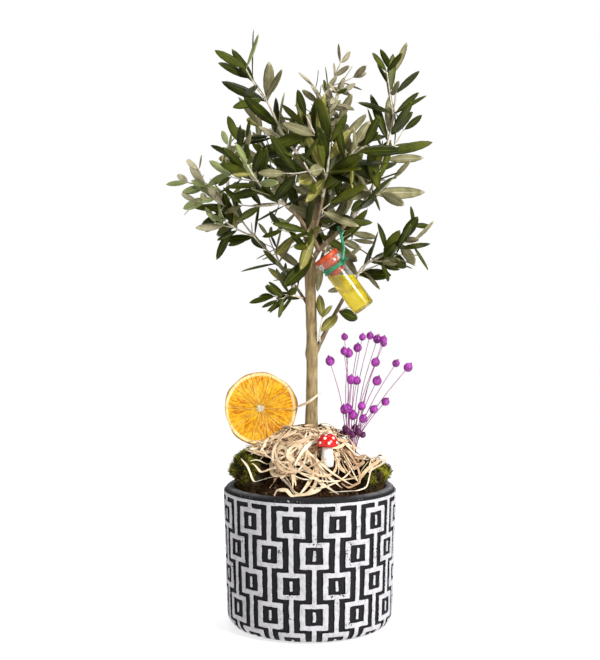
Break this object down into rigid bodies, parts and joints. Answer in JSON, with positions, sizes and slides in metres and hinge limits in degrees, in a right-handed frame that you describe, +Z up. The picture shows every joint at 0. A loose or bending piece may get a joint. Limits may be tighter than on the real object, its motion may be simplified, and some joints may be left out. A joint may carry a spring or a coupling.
{
  "type": "potted olive bonsai",
  "caption": "Small olive bonsai in a round black and white cement pot, dressed with moss, raffia, a dried orange slice, flax pods, a toy mushroom and a stoppered vial of oil.",
  "frame": {"origin": "middle of the pot's flat underside", "axes": "+Z up along the trunk, front towards -Y as in the picture, +X to the picture's right"},
  "size_m": [0.2004, 0.1674, 0.4431],
  "materials": {
    "cement": "charcoal cement with a raised pattern painted white",
    "soil": "dark peat",
    "moss": "dried cushion moss",
    "raffia": "pale dry fibre",
    "orange": "dried fruit",
    "mushroom_red": "gloss paint with white dots",
    "mushroom_white": "gloss paint",
    "pods": "dyed magenta",
    "glass": "clear",
    "oil": "clear golden liquid",
    "stopper": "red brown stopper",
    "tie": "green flat tie",
    "bark": "smooth young bark",
    "leaf": "leathery, silvery below"
  },
  "bodies": {
    "root": {"pot": "cement", "soil": "soil", "moss_left": "moss", "moss_right": "moss", "moss_back": "moss", "raffia_nest": "raffia", "orange_slice": "orange", "mushroom_stalk": "mushroom_white", "mushroom_cap": "mushroom_red", "flax_pods": "pods", "vial_glass": "glass", "vial_oil": "oil", "vial_stopper": "stopper", "vial_tie": "tie", "trunk": "bark", "bough_right": "bark", "bough_left": "bark", "bough_low_left": "bark", "bough_low_right": "bark", "bough_top_left": "bark", "bough_centre": "bark", "bough_front": "bark", "bough_back_left": "bark", "bough_back_right": "bark", "bough_low_back": "bark", "foliage_right": "leaf", "foliage_left": "leaf", "foliage_low_left": "leaf", "foliage_low_right": "leaf", "foliage_top_left": "leaf", "foliage_centre": "leaf", "foliage_front": "leaf", "foliage_back_left": "leaf", "foliage_back_right": "leaf", "foliage_sprout": "leaf", "foliage_low_front": "leaf", "foliage_low_back": "leaf"}
  },
  "joints": []
}
